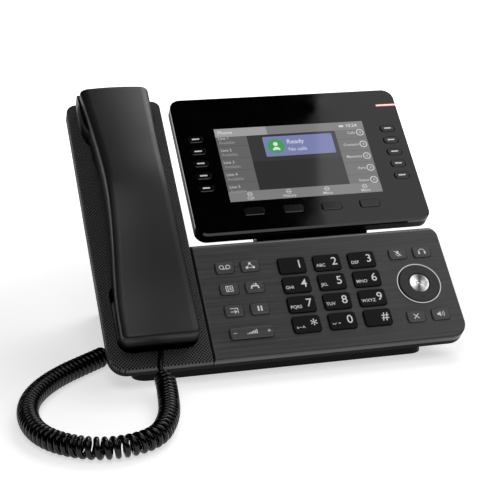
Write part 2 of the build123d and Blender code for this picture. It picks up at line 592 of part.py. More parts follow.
def route_tube(points, diameter):
    """A round tube along straight runs joined by tangent arcs."""
    vectors = [Vector(*p) for p in points]
    runs = [(b - a).length for a, b in zip(vectors, vectors[1:])]
    radii = []
    for i in range(1, len(vectors) - 1):
        turn = (vectors[i] - vectors[i - 1]).get_angle(vectors[i + 1] - vectors[i])
        radii.append(0.45 * min(runs[i - 1], runs[i]) / tan(radians(turn) / 2))
    print("cord radii:", [round(r, 1) for r in radii])
    path = FilletPolyline(*points, radius=radii)
    section = Plane(origin=path @ 0, z_dir=path % 0) * Circle(diameter / 2)
    return sweep(section, path=path)


def handset_tail_route():
    """From the handset's strain relief down to the left side of the coil's first turn."""
    face = Vector(*panel_point(HANDSET_X, MOUTH_POD[0] - BOOT_LENGTH, SOCKET_H))
    down_slope = Vector(*panel_point(0, -1, 0)) - Vector(*panel_point(0, 0, 0))
    first, second = (Vector(*point) for point in COIL_ROUTE[:2])
    along = (second - first).normalized()
    aside = Vector(-2.8, 0, 2.2)
    end = first + aside - along * aside.dot(along)
    return [tuple(point) for point in (face, face + down_slope * 6, end - along * 5.5, end)]


def base_tail_route():
    """From the coil's last turn, under the base and up into the jack."""
    before, last = (Vector(*point) for point in COIL_ROUTE[-2:])
    along = (last - before).normalized()
    jack = Vector(*panel_point(*JACK, -BELLY_DEPTH - PLUG_STICKS_OUT))
    out_of_jack = jack - Vector(*panel_point(*JACK, -BELLY_DEPTH))
    below = jack + out_of_jack.normalized() * 18
    bend = last + along * 13
    low = Vector(JACK[0] - 0.4, bend.Y + 16, COIL_AXIS_Z + 3)
    return [tuple(point) for point in (last, bend, low, below, jack)]


# ---- all the pieces ----------------------------------------------------------------------------
def all_pieces():
    """Every node's name and shape."""
    pieces = {
        "base_housing": base_housing(),
        "cradle_cover": cradle_cover(),
        "keypad_faceplate": keypad_faceplate(),
        "foot_stand": foot_stand(),
        "rubber_feet": rubber_feet(),
        "nav_rim": nav_rim(),
        "display_bracket": display_bracket(),
        "hinge_pin": hinge_pin(),
        "hook_plunger": hook_plunger(),
        "handset_top_shell": handset_top_shell(),
        "handset_bottom_shell": handset_bottom_shell(),
        "plug_handset": plug_handset(),
        "plug_base": plug_base(),
        "cord_coil": route_tube(COIL_ROUTE, COIL_DIAMETER),
        "cord_tail_handset": route_tube(handset_tail_route(), WIRE_DIAMETER),
        "cord_tail_base": route_tube(base_tail_route(), WIRE_DIAMETER),
        "display_bezel": display_bezel(),
        "display_rear_cover": display_rear_cover(),
        "lcd_panel": lcd_panel(),
        "light_bar": light_bar(),
        "nav_gimbal": nav_gimbal(),
        "nav_ring": nav_ring(),
        "ok_key": ok_key(),
        "volume_rocker": volume_rocker(),
    }
    dial_names = ("1", "2", "3", "4", "5", "6", "7", "8", "9", "star", "0", "hash")
    dial_places = [(x, t) for t in DIAL_ROWS for x in DIAL_COLUMNS]
    for name, place in zip(dial_names, dial_places):
        pieces[f"dial_key_{name}"] = key(*place, DIAL_KEY)
    function_names = ("voicemail", "conference", "directory", "answer", "transfer", "hold")
    function_places = [(x, t) for t in FUNCTION_ROWS for x in FUNCTION_COLUMNS]
    for name, place in zip(function_names, function_places):
        pieces[f"key_{name}"] = key(*place, FUNCTION_KEY, 1.0)
    right_names = ("mute", "headset", "cancel", "speaker")
    right_places = [(x, t) for t in RIGHT_ROWS for x in RIGHT_COLUMNS]
    for name, place in zip(right_names, right_places):
        pieces[f"key_{name}"] = key(*place, FUNCTION_KEY, 1.0)
    for column, side in zip(LINE_COLUMNS, ("left", "right")):
        for row, t in enumerate(LINE_ROWS, 1):
            pieces[f"line_key_{side}_{row}"] = key(column, t, LINE_KEY, 0.6, 2.2)
    for number, x in enumerate(SOFT_COLUMNS, 1):
        pieces[f"soft_key_{number}"] = key(x, SOFT_T, SOFT_KEY, 0.8, 2.2)
    return pieces


os.makedirs("parts", exist_ok=True)
for node, shape in all_pieces().items():
    export_step(shape, f"parts/{node}.step")
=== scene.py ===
"""Looks of a corded desk telephone: its cord, handset, legends, screen page and finishes.

Most pieces are drawn flat in panel coordinates (x to the right, t up the slope, h out of the
panel, in millimetres) and panel() turns them onto the sloping panel, in metres.
"""
import json

import bpy
import numpy as np
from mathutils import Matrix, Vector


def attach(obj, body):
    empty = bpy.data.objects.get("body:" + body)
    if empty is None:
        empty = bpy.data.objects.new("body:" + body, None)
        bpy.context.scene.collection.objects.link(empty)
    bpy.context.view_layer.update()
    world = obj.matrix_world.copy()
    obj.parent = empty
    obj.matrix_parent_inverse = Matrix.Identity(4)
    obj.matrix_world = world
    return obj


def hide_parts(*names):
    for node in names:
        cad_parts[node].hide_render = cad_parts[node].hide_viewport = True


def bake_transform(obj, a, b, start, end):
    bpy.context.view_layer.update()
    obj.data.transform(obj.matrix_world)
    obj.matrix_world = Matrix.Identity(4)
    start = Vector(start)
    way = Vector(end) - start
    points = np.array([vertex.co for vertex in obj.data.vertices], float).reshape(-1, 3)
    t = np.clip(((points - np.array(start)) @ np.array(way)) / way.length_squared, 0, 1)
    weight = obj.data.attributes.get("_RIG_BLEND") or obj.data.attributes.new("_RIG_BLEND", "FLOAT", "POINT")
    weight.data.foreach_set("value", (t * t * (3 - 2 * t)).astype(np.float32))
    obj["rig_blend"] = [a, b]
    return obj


# ---- sizes shared with the solid model, millimetres ------------------------------------
TILT = np.radians(41.3)
FRONT_Y = -84.3
FRONT_Z = 15.0
HANDSET_X = -87.6
HANDSET_FRONT, HANDSET_BACK = 12.0, 214.0
HANDSET_CROWN = ((11.0, 17.0), (36.0, 17.0), (58.0, 20.8), (84.0, 27.0), (120.0, 31.2), (150.0, 27.0),
                 (182.0, 20.8), (215.0, 13.5))
HANDSET_SIDE = ((25.2, 12.0), (24.6, 46.0), (22.3, 78.0), (20.3, 122.0), (21.4, 166.0), (24.2, 214.0))
TOP_SHELL_DEPTH = 9.0
SOCKET_H = 2.2
BOOT_END = 14.5            # place of the end of the handset's strain relief along the slope
DIAL_COLUMNS = (11.2, 35.85, 60.5)
DIAL_ROWS = (64.8, 49.8, 34.8, 19.7)
FUNCTION_COLUMNS = (-34.7, -17.4)
FUNCTION_ROWS = (67.2, 50.9, 34.4)
RIGHT_COLUMNS = (87.2, 104.7)
RIGHT_ROWS = (67.0, 17.7)
VOLUME_CENTRE = (-26.3, 17.4)
NAV_CENTRE = (96.1, 42.6)
LINE_COLUMNS = (-34.7, 108.2)
LINE_ROWS = tuple(173.2 - 10.39 * i for i in range(5))
SCREEN_LEFT, SCREEN_TOP = -20.0, 181.4
SCREEN_WIDTH, SCREEN_HEIGHT = 110.7, 62.3
LIGHT_BAR_T = 194.5        # middle of the message light along the slope
COIL_DIAMETER = 13.4
WIRE_DIAMETER = 3.6
JACK = (-108.0, 66.0)
JACK_H = -30.0             # height of the lower end of the base's plug

# ---- heights above the panel at which prints and marks lie, millimetres ------------------
DIAL_PRINT_H = 1.5
VOLUME_PRINT_H = 1.5
MARKER_BAR_H = 1.53
FUNCTION_PRINT_H = 1.0
LINE_PRINT_H = 0.6
NAV_PRINT_H = 1.5
OK_PRINT_H = 1.14
PAGE_H = -0.22             # the lit page, just above the glass
DISPLAY_BACK_H = -19.0
HOUSING_BACK_H = -26.0
PRINT_HALF = 0.03          # half the thickness of a print
MARK_HALF = 0.05           # half the thickness of a painted-shade mark on the back

# ---- finishes, metres and radians ---------------------------------------------------------
DIMPLE_PITCH = 0.00225     # across two rows of dimples
LIGHT_CORE, LIGHT_EDGE = 0.0003, 0.0009     # from the light bar's middle line to where it turns red
PAINTED_FAN_TURN = 0.6             # radians by which the spun key's two painted bright fans, a painted reflection in its base colour, are turned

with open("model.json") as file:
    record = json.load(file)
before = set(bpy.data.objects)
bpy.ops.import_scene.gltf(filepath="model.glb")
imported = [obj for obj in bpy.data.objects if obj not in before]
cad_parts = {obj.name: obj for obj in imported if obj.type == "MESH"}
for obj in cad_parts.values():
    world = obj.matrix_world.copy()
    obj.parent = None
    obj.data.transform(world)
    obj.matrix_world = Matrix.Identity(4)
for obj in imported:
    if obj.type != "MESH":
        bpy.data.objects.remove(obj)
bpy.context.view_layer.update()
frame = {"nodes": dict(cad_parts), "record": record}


# ---- helpers ----------------------------------------------------------------------------
def panel(x, t, h):
    """Panel coordinates in millimetres turned into world points in metres, last axis xyz."""
    x, t, h = np.broadcast_arrays(*(np.asarray(v, float) for v in (x, t, h)))
    y = FRONT_Y + t * np.cos(TILT) - h * np.sin(TILT)
    z = FRONT_Z + t * np.sin(TILT) + h * np.cos(TILT)
    return np.stack([x, y, z], axis=-1) / 1000


def closed(name, points, faces, sharp=35):
    """A smooth-shaded closed mesh, with its faces turned outward by the sign of its volume."""
    points = np.asarray(points, float)
    painted_fans = np.array([(face[0], *pair) for face in faces for pair in zip(face[1:-1], face[2:])])
    first, second, third = (points[painted_fans[:, i]] for i in range(3))
    if np.sum(first * np.cross(second, third)) < 0:
        faces = [list(reversed(face)) for face in faces]
    mesh = bpy.data.meshes.new(name)
    mesh.from_pydata(points.tolist(), [], faces)
    mesh.polygons.foreach_set("use_smooth", [True] * len(faces))
    mesh.set_sharp_from_angle(angle=np.radians(sharp))
    mesh.update()
    return mesh


def rings_mesh(name, rings, sharp=35):
    """A closed skin over rings of points, shaped (rings, points round, 3), with flat ends."""
    count, around = rings.shape[:2]
    index = np.arange(count * around).reshape(count, around)
    low, high = index[:-1], index[1:]
    quads = np.stack([low, np.roll(low, -1, 1), np.roll(high, -1, 1), high], axis=-1)
    faces = quads.reshape(-1, 4).tolist() + [index[0][::-1].tolist(), index[-1].tolist()]
    return closed(name, rings.reshape(-1, 3), faces, sharp)


def link(name, mesh, material, body, slot, *nodes):
    """A finished piece: one object at the origin, riding on a body, for the nodes it replaces."""
    piece = bpy.data.objects.new(name, mesh)
    bpy.context.scene.collection.objects.link(piece)
    mesh.materials.append(material)
    if body:
        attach(piece, body)
    if nodes:
        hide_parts(*nodes)
    return piece


def smoothstep(value, low, high):
    """Rises smoothly from 0 at low to 1 at high."""
    part = np.clip((np.asarray(value, float) - low) / (high - low), 0, 1)
    return part * part * (3 - 2 * part)


def cubic(knots, values, places):
    """A natural cubic curve through values at the knots, read at the places."""
    knots, values, places = (np.asarray(v, float) for v in (knots, values, places))
    gap = np.diff(knots)
    system, right = np.eye(len(knots)), np.zeros(len(knots))
    for i in range(1, len(knots) - 1):
        system[i, i - 1:i + 2] = gap[i - 1], 2 * (gap[i - 1] + gap[i]), gap[i]
        right[i] = 6 * ((values[i + 1] - values[i]) / gap[i] - (values[i] - values[i - 1]) / gap[i - 1])
    bend = np.linalg.solve(system, right)
    i = np.clip(np.searchsorted(knots, places) - 1, 0, len(knots) - 2)
    a = (knots[i + 1] - places) / gap[i]
    b = 1 - a
    curve = (a ** 3 - a) * bend[i] + (b ** 3 - b) * bend[i + 1]
    return a * values[i] + b * values[i + 1] + curve * gap[i] ** 2 / 6


# ---- camera -------------------------------------------------------------------------------
eye = bpy.data.cameras.new("camera")
eye.lens = 100.5
eye.sensor_width = 36.0
eye.clip_end = 20.0
camera = bpy.data.objects.new("camera", eye)
camera.location = (-0.2540, -0.8852, 0.3386)
camera.rotation_euler = (np.radians(90 - 16.865), 0.0, -np.radians(15.545))
bpy.context.scene.collection.objects.link(camera)
bpy.context.scene.camera = camera


# ---- materials ----------------------------------------------------------------------------
def node(tree, kind, inputs=None, **settings):
    """A shader node with its settings, and its inputs set or linked."""
    made = tree.nodes.new(kind)
    for name, value in settings.items():
        setattr(made, name, value)
    for name, value in (inputs or {}).items():
        if isinstance(value, bpy.types.NodeSocket):
            tree.links.new(value, made.inputs[name])
        else:
            made.inputs[name].default_value = value
    return made


def principled(name, **sockets):
    """A material, its tree and its shader, with constants on the shader's own sockets."""
    material = bpy.data.materials.new(name)
    material.use_nodes = True
    shader = material.node_tree.nodes["Principled BSDF"]
    for socket, value in sockets.items():
        shader.inputs[socket.replace("_", " ")].default_value = value
    return material, material.node_tree, shader


def panel_space(tree, scale=(1, 1, 1)):
    """Object coordinates turned so that x and y lie in the sloping panel, then scaled."""
    place = node(tree, "ShaderNodeTexCoord").outputs["Object"]
    turned = node(tree, "ShaderNodeMapping", {"Vector": place, "Rotation": (-TILT, 0, 0)})
    scaled = node(tree, "ShaderNodeMapping", {"Vector": turned.outputs[0], "Scale": scale})
    return scaled.outputs[0]


def maths(tree, operation, *values):
    """The result of an arithmetic node on values, each a socket or a number."""
    return node(tree, "ShaderNodeMath", dict(enumerate(values)), operation=operation).outputs[0]


def length(tree, vector):
    """A vector's length."""
    return node(tree, "ShaderNodeVectorMath", {0: vector}, operation="LENGTH").outputs["Value"]


def noise(tree, place, scale, detail=3.0):
    """A noise texture's value."""
    made = node(tree, "ShaderNodeTexNoise", {"Vector": place, "Scale": scale, "Detail": detail})
    return made.outputs[0]


def spread(tree, value, low, high, start=0.3, stop=0.7):
    """A value between start and stop mapped onto low to high."""
    made = node(tree, "ShaderNodeMapRange", {"Value": value, "From Min": start, "From Max": stop,
                                             "To Min": low, "To Max": high})
    return made.outputs[0]


def shade(tree, shader, colour, amount, value):
    """Base colour varied by a share of amount to each side of colour, following value."""
    dark = (*(c * (1 - amount) for c in colour), 1.0)
    light = (*(c * (1 + amount) for c in colour), 1.0)
    made = node(tree, "ShaderNodeMix", {"Factor": value}, data_type="RGBA")
    made.inputs[6].default_value = dark
    made.inputs[7].default_value = light
    tree.links.new(made.outputs[2], shader.inputs["Base Color"])


def bump(tree, shader, height, distance, strength=1.0):
    """A bump of that distance in metres from a height value."""
    made = node(tree, "ShaderNodeBump", {"Height": height, "Distance": distance, "Strength": strength})
    tree.links.new(made.outputs[0], shader.inputs["Normal"])


def moulded(name, colour, roughness, grain=1400.0, depth=0.00003, uneven=0.14, **sockets):
    """Moulded plastic: a fine spark-eroded grain, uneven sheen and slight cloudiness."""
    material, tree, shader = principled(name, **sockets)
    place = panel_space(tree)
    fine, broad = noise(tree, place, grain), noise(tree, place, 26.0)
    shade(tree, shader, colour, uneven, spread(tree, broad, 0, 1))
    mixed = maths(tree, "ADD", fine, broad)
    rough = spread(tree, mixed, roughness - 0.05, roughness + 0.05, 0.7, 1.3)
    tree.links.new(rough, shader.inputs["Roughness"])
    bump(tree, shader, fine, depth)
    return material


def brushed(name, colour, roughness, metallic):
    """A finish brushed along x: long fine lines in height, sheen and colour."""
    material, tree, shader = principled(name, Metallic=metallic)
    long_lines = noise(tree, panel_space(tree, (5, 520, 520)), 1.0, 4.0)
    short_lines = noise(tree, panel_space(tree, (30, 1500, 1500)), 1.0, 2.0)
    lines = maths(tree, "MULTIPLY", long_lines, short_lines)
    shade(tree, shader, colour, 0.22, spread(tree, lines, 0, 1, 0.12, 0.4))
    rough = spread(tree, long_lines, roughness - 0.07, roughness + 0.07)
    tree.links.new(rough, shader.inputs["Roughness"])
    bump(tree, shader, lines, 0.00006)
    return material


def dimpled(name, colour, roughness, **sockets):
    """Plastic with staggered dimples: the product of a cosine along x and one along the slope, used as bump
    and as painted shade that darkens the base colour in each dimple.
    """
    material, tree, shader = principled(name, **sockets)
    turn = 2 * np.pi / DIMPLE_PITCH
    split = node(tree, "ShaderNodeSeparateXYZ", {0: panel_space(tree, (turn, turn, turn))})
    waves = [maths(tree, "COSINE", split.outputs[i]) for i in (0, 1)]
    dots = maths(tree, "MULTIPLY", *waves)
    dimple_depth_and_shade = spread(tree, dots, 1, 0, 0.0, 0.3)
    broad = noise(tree, panel_space(tree), 30.0)
    # painted shade: the base colour is darkened in each dimple, where shade falls in the hollow
    shade(tree, shader, colour, 0.96, dimple_depth_and_shade)
    tree.links.new(spread(tree, broad, roughness - 0.05, roughness + 0.05), shader.inputs["Roughness"])
    bump(tree, shader, dimple_depth_and_shade, 0.00022, 0.8)
    return material


def spun(name, centre, colour, roughness):
    """Metal turned on a lathe: fine rings, and the two bright fans that they reflect, painted into the base
    colour as a painted highlight.
    """
    material, tree, shader = principled(name, Metallic=1.0)
    middle = panel(*centre, 0.0) @ np.array([[1, 0, 0], [0, np.cos(TILT), -np.sin(TILT)],
                                            [0, np.sin(TILT), np.cos(TILT)]])
    moved = node(tree, "ShaderNodeMapping", {"Vector": panel_space(tree), "Location": tuple(-middle)})
    split = node(tree, "ShaderNodeSeparateXYZ", {0: moved.outputs[0]})
    angle = maths(tree, "ARCTAN2", split.outputs[1], split.outputs[0])
    painted_fans = maths(tree, "COSINE", maths(tree, "MULTIPLY_ADD", angle, 2.0, PAINTED_FAN_TURN))
    flat = node(tree, "ShaderNodeCombineXYZ", {0: split.outputs[0], 1: split.outputs[1]})
    radius = length(tree, flat.outputs[0])
    scratches = noise(tree, node(tree, "ShaderNodeCombineXYZ", {0: radius}).outputs[0], 5200.0)
    # painted highlight: the base colour is lighter in two fans round the key's middle, standing in for a
    # reflection
    shade(tree, shader, colour, 0.88, spread(tree, painted_fans, 0, 1, -1, 1))
    rough = spread(tree, scratches, roughness - 0.08, roughness + 0.08)
    tree.links.new(rough, shader.inputs["Roughness"])
    bump(tree, shader, scratches, 0.00003)
    return material


def printed(name, colour, glow=0.0):
    """Screen-printed ink: a little uneven, slightly raised; any glow is painted light, emission that
    brightens the ink beyond what the lamps give.
    """
    material, tree, shader = principled(name, Roughness=0.5)
    shade(tree, shader, colour, 0.08, spread(tree, noise(tree, panel_space(tree), 900.0), 0, 1))
    # painted light: the ink glows by its own emission, though it is no lamp
    shader.inputs["Emission Color"].default_value = (*colour, 1.0)
    shader.inputs["Emission Strength"].default_value = glow
    return material


def light_window(name):
    """A frosted light bar, white along its middle and red at its long edges."""
    material, tree, shader = principled(name, Roughness=0.3, Coat_Weight=0.5)
    split = node(tree, "ShaderNodeSeparateXYZ", {0: panel_space(tree)})
    along = panel(0, LIGHT_BAR_T, 0) @ np.array([0, np.cos(TILT), np.sin(TILT)])
    away = maths(tree, "ABSOLUTE", maths(tree, "SUBTRACT", split.outputs[1], float(along)))
    redness = spread(tree, away, 0, 1, LIGHT_CORE, LIGHT_EDGE)
    ramp = node(tree, "ShaderNodeMix", {"Factor": redness}, data_type="RGBA")
    ramp.inputs[6].default_value = (0.95, 0.72, 0.70, 1)
    ramp.inputs[7].default_value = (0.62, 0.10, 0.09, 1)
    cloudy = noise(tree, panel_space(tree), 300.0)
    tree.links.new(ramp.outputs[2], shader.inputs["Base Color"])
    tree.links.new(ramp.outputs[2], shader.inputs["Emission Color"])
    tree.links.new(spread(tree, cloudy, 0.5, 0.65), shader.inputs["Emission Strength"])
    return material


def page_light(name):
    """The lit page: each face's own tone as light, under the same gloss as the display's front."""
    material, tree, shader = principled(name, Roughness=0.06, Base_Color=(0.002, 0.002, 0.002, 1))
    tone = node(tree, "ShaderNodeAttribute", attribute_name="tone").outputs["Color"]
    tree.links.new(tone, shader.inputs["Emission Color"])
    lines = noise(tree, panel_space(tree, (900, 900, 900)), 1.0)
    tree.links.new(spread(tree, lines, 0.94, 1.0), shader.inputs["Emission Strength"])
    return material


dull = {"Specular_IOR_Level": 0.12}
very_dull = {"Specular_IOR_Level": 0.06}
finishes = {
    "housing": moulded("housing_plastic", (0.002, 0.002, 0.0022), 0.5, **very_dull),
    "dimpled_cover": dimpled("dimpled_plastic", (0.052, 0.052, 0.053), 0.5, Specular_IOR_Level=0.05),
    "brushed_faceplate": brushed("brushed_plate", (0.062, 0.062, 0.065), 0.36, metallic=0.35),
    "stand": moulded("stand_plastic", (0.005, 0.005, 0.0053), 0.42, **dull),
    "feet": moulded("foot_rubber", (0.012, 0.012, 0.012), 0.75, grain=2200.0, depth=0.00005),
    "bright_ring": moulded("bright_chrome", (0.52, 0.52, 0.53), 0.14, grain=900.0, depth=0.000004,
                           uneven=0.05, Metallic=1.0),
    "bracket": moulded("bracket_plastic", (0.006, 0.006, 0.0065), 0.4, **dull),
    "steel_pin": brushed("ground_steel", (0.5, 0.5, 0.52), 0.3, metallic=1.0),
    "plug": moulded("plug_plastic", (0.008, 0.008, 0.009), 0.28, grain=700.0, depth=0.00001),
    "cord": moulded("cord_jacket", (0.0012, 0.0012, 0.0014), 0.2, grain=800.0, depth=0.00001,
                    uneven=0.1, Specular_IOR_Level=0.35),
    "handset": moulded("handset_plastic", (0.0075, 0.0075, 0.008), 0.41, grain=1700.0, depth=0.00002,
                       uneven=0.08),
    "handset_lower": moulded("handset_lower_plastic", (0.004, 0.004, 0.0043), 0.4, grain=1700.0, **dull),
    "display_front": moulded("glossy_front", (0.0008, 0.0008, 0.0009), 0.07, grain=60.0, depth=0.0,
                             uneven=0.1),
    "display_back": moulded("display_back_plastic", (0.008, 0.008, 0.009), 0.45, Specular_IOR_Level=0.08),
    "screen": moulded("screen_glass", (0.004, 0.005, 0.007), 0.1, grain=60.0, depth=0.0, uneven=0.1),
    "light_window": light_window("light_bar_window"),
    "gimbal": moulded("inner_plastic", (0.02, 0.02, 0.02), 0.5),
    "dial_key": moulded("dial_key_plastic", (0.008, 0.008, 0.009), 0.42, grain=1900.0, **dull),
    "function_key": brushed("function_key_paint", (0.075, 0.075, 0.078), 0.36, metallic=0.3),
    "display_key": moulded("display_key_plastic", (0.003, 0.003, 0.0034), 0.16, grain=900.0,
                           depth=0.000004),
    "nav_key": brushed("nav_key_paint", (0.030, 0.030, 0.032), 0.38, metallic=0.3),
    "ok_metal": spun("spun_metal", NAV_CENTRE, (0.75, 0.75, 0.77), 0.28),
}
for row in frame["record"]["subparts"]:
    materials = frame["nodes"][row["node"]].data.materials
    materials.clear()
    materials.append(finishes[row["material_slot"]])
# the white prints glow a little: painted light
white_ink_painted_glow = printed("white_ink_painted_glow", (0.72, 0.72, 0.72), 0.2)
# dark ink for the printed arrows and OK mark; also used as painted shade on the back
dark_ink_and_shade = printed("dark_ink_and_shade", (0.006, 0.006, 0.006))

# ---- the cord -----------------------------------------------------------------------------
COIL_Z = 6.85                       # height of the coil's middle line above the desk
DESK_CLEARANCE = 0.05               # the wire lies this far above the desk
PLUG_RUN, JACK_RUN = 6.0, 18.0      # straight runs out of the two plugs
RISE_NEAR_BASE = 3.0                # how much the tail to the base rises out of the coil's height
START_RISE, END_FALL = 2.0, 6.0     # runs over which the coil opens out at its start and its end
ROUTE_STEP, WIRE_STEP = 0.1, 1.25   # spacing of points along the route and along the wire
STILL_RUN = 60.0                    # the wire's first stretch, which rides wholly on the handset
socket = panel(HANDSET_X, BOOT_END, SOCKET_H) * 1000
below_socket = panel(HANDSET_X, BOOT_END - PLUG_RUN, SOCKET_H) * 1000
jack = panel(*JACK, JACK_H) * 1000
below_jack = panel(*JACK, JACK_H - JACK_RUN) * 1000
tail_from_handset = [socket, below_socket, (-91.3, -89.2, 16.4)]
coil_route = [(-89.0, -94.5, 12.6), (-90.5, -112.0, COIL_Z), (-97.0, -146.0, COIL_Z),
              (-112.0, -174.5, COIL_Z), (-147.0, -179.0, COIL_Z), (-175.5, -152.0, COIL_Z),
              (-178.0, -107.0, COIL_Z), (-158.0, -69.0, COIL_Z), (-119.0, -37.5, COIL_Z)]
tail_to_base = [(-108.9, -29.3, COIL_Z), (-108.4, -13.3, COIL_Z + RISE_NEAR_BASE), below_jack, jack]
END_PITCH, OPEN_PITCH = 3.95, 4.9
OPEN_STRETCH = np.array([-122.0, -176.0])    # middle of the part of the coil that is pulled open
OPEN_REACH, OPEN_CORE = 62.0, 12.4  # it is open fully within the core, and closed beyond the reach


def smooth_line(points):
    """Points along a NURBS spline of order 3 whose control points are the route, in metres."""
    curve = bpy.data.curves.new("route", "CURVE")
    curve.dimensions = "3D"
    curve.resolution_u = 60
    spline = curve.splines.new("NURBS")
    spline.points.add(len(points) - 1)
    for place, point in zip(spline.points, points):
        place.co = (*(v / 1000 for v in point), 1.0)
    spline.order_u = 3
    spline.use_endpoint_u = True
    holder = bpy.data.objects.new("route", curve)
    mesh = bpy.data.meshes.new_from_object(holder)
    line = np.zeros(len(mesh.vertices) * 3, np.float32)
    mesh.vertices.foreach_get("co", line)
    bpy.data.meshes.remove(mesh)
    bpy.data.curves.remove(curve)
    return line.reshape(-1, 3).astype(float)


def along_line(line, spacing):
    """The line read at even steps, with the distance of each step."""
    run = np.concatenate([[0], np.cumsum(np.linalg.norm(np.diff(line, axis=0), axis=1))])
    steps = np.linspace(0, run[-1], int(run[-1] / spacing) + 1)
    return np.stack([np.interp(steps, run, line[:, i]) for i in range(3)], axis=-1), steps


def carried_frames(line):
    """Two directions square to the line at each point, carried along it without twist."""
    ahead = np.gradient(line, axis=0)
    ahead /= np.linalg.norm(ahead, axis=1)[:, None]
    side = np.zeros_like(line)
    side[0] = np.cross(ahead[0], (0, 0, 1.0))
    side[0] /= np.linalg.norm(side[0])
    for i in range(1, len(line)):
        side[i] = side[i - 1] - ahead[i] * np.dot(side[i - 1], ahead[i])
        side[i] /= np.linalg.norm(side[i])
    return side, np.cross(ahead, side)


def tube(name, line, radius, around=14):
    """A round tube along a line."""
    side, up = carried_frames(line)
    angle = np.linspace(0, 2 * np.pi, around, endpoint=False)
    spokes = side[:, None] * np.cos(angle)[:, None] + up[:, None] * np.sin(angle)[:, None]
    return rings_mesh(name, line[:, None] + radius * spokes, 70)


def curly_line():
    """The wire's centreline: it winds round the route at the coil's radius, less at both ends."""
    route = smooth_line(tail_from_handset + coil_route + tail_to_base)
    centre, run = along_line(route, ROUTE_STEP / 1000)
    start, end = (run[np.argmin(np.linalg.norm(centre - np.array(point) / 1000, axis=1))]
                  for point in (coil_route[0], coil_route[-1]))
    from_open = np.linalg.norm(centre[:, :2] * 1000 - OPEN_STRETCH, axis=1)
    openness = 1 - smoothstep(from_open, OPEN_CORE, OPEN_REACH)
    pitch = END_PITCH + (OPEN_PITCH - END_PITCH) * openness
    coiled = smoothstep(run, start - START_RISE / 1000, start + START_RISE / 1000)
    coiled = coiled * (1 - smoothstep(run, end, end + END_FALL / 1000))
    turn = np.concatenate([[0], np.cumsum(np.diff(run) * (coiled > 0)[1:] * 2000 * np.pi / pitch[1:])])
    radius = coiled * (COIL_DIAMETER - WIRE_DIAMETER) / 2000
    side, up = carried_frames(centre)
    wound = centre + radius[:, None] * (side * np.cos(turn)[:, None] + up * np.sin(turn)[:, None])
    wound[:, 2] = np.maximum(wound[:, 2], (WIRE_DIAMETER / 2 + DESK_CLEARANCE) / 1000)
    return along_line(wound, WIRE_STEP / 1000)


wire, wire_run = curly_line()
cord_mesh = tube("curly_cord", wire, WIRE_DIAMETER / 2000)
cord = link("curly_cord", cord_mesh, finishes["cord"], None, "cord",
            "cord_coil", "cord_tail_handset", "cord_tail_base")
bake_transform(cord, "handset", "base", start=wire[0].tolist(), end=wire[-1].tolist())
share = smoothstep(wire_run, STILL_RUN / 1000, wire_run[-1] / 2)
weights = np.repeat(share, len(cord_mesh.vertices) // len(wire)).astype(np.float32)
cord_mesh.attributes["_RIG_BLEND"].data.foreach_set("value", weights)


# ---- handset ------------------------------------------------------------------------------
EDGE_RADIUS = 3.2          # round of the handset's upper edge
CORNER_RADIUS = 5.0        # round of its corners seen from above
CROWN_ACROSS = 1.3         # how much the crown falls from the middle to the edges
SEAM = 0.25                # open line between the two shells


def rounded(distance, radius):
    """How far a quarter round has fallen back at a distance from its edge."""
    inner = np.clip(radius - np.asarray(distance, float), 0, radius)
    return radius - np.sqrt(radius ** 2 - inner ** 2)


def handset_lid():
    """Cross-sections from the mouth end to the ear end: two walls, two rounds, a slight crown."""
    length_along = HANDSET_BACK - HANDSET_FRONT
    turn = np.linspace(0, np.pi / 2, 9)
    near_end = CORNER_RADIUS * (1 - np.cos(turn))
    middle = np.linspace(CORNER_RADIUS, length_along - CORNER_RADIUS, 150)
    along = np.concatenate([near_end, middle[1:-1], length_along - near_end[::-1]])[:, None]
    to_end = np.minimum(along, length_along - along)
    t = HANDSET_FRONT + along
    widths, width_places = zip(*HANDSET_SIDE)
    crown_places, crowns = zip(*HANDSET_CROWN)
    half = cubic(width_places, widths, t) - rounded(to_end, CORNER_RADIUS)
    crown = cubic(crown_places, crowns, t)
    floor, top = crown - TOP_SHELL_DEPTH + SEAM, crown - rounded(to_end, EDGE_RADIUS)
    across = np.linspace(0, 1, 9) * (half - EDGE_RADIUS)
    round_x = half - EDGE_RADIUS + EDGE_RADIUS * np.sin(turn[1:])
    round_h = top - CROWN_ACROSS - EDGE_RADIUS * (1 - np.cos(turn[1:]))
    wall_h = round_h[:, -1:] + np.linspace(0, 1, 5)[1:] * (floor - round_h[:, -1:])
    x = np.concatenate([across, round_x, np.repeat(half, wall_h.shape[1], axis=1)], axis=1)
    h = np.concatenate([top - CROWN_ACROSS * (across / half) ** 2, round_h, wall_h], axis=1)
    whole_x = np.concatenate([-x[:, :0:-1], x], axis=1)
    whole_h = np.concatenate([h[:, :0:-1], h], axis=1)
    return rings_mesh("handset_lid", panel(HANDSET_X + whole_x, t, whole_h), 50)


link("handset_lid", handset_lid(), finishes["handset"], "handset", "handset", "handset_top_shell")


# ---- flat shapes: each is (points in millimetres, faces) ----------------------------------------
def box_shape(left, low, right, high):
    """A rectangle."""
    return np.array([(left, low), (right, low), (right, high), (left, high)], float), [[0, 1, 2, 3]]


def dot(x, y, radius):
    """A filled circle."""
    angle = np.linspace(0, 2 * np.pi, 28, endpoint=False)
    points = np.stack([x + radius * np.cos(angle), y + radius * np.sin(angle)], axis=-1)
    return points, [list(range(len(angle)))]


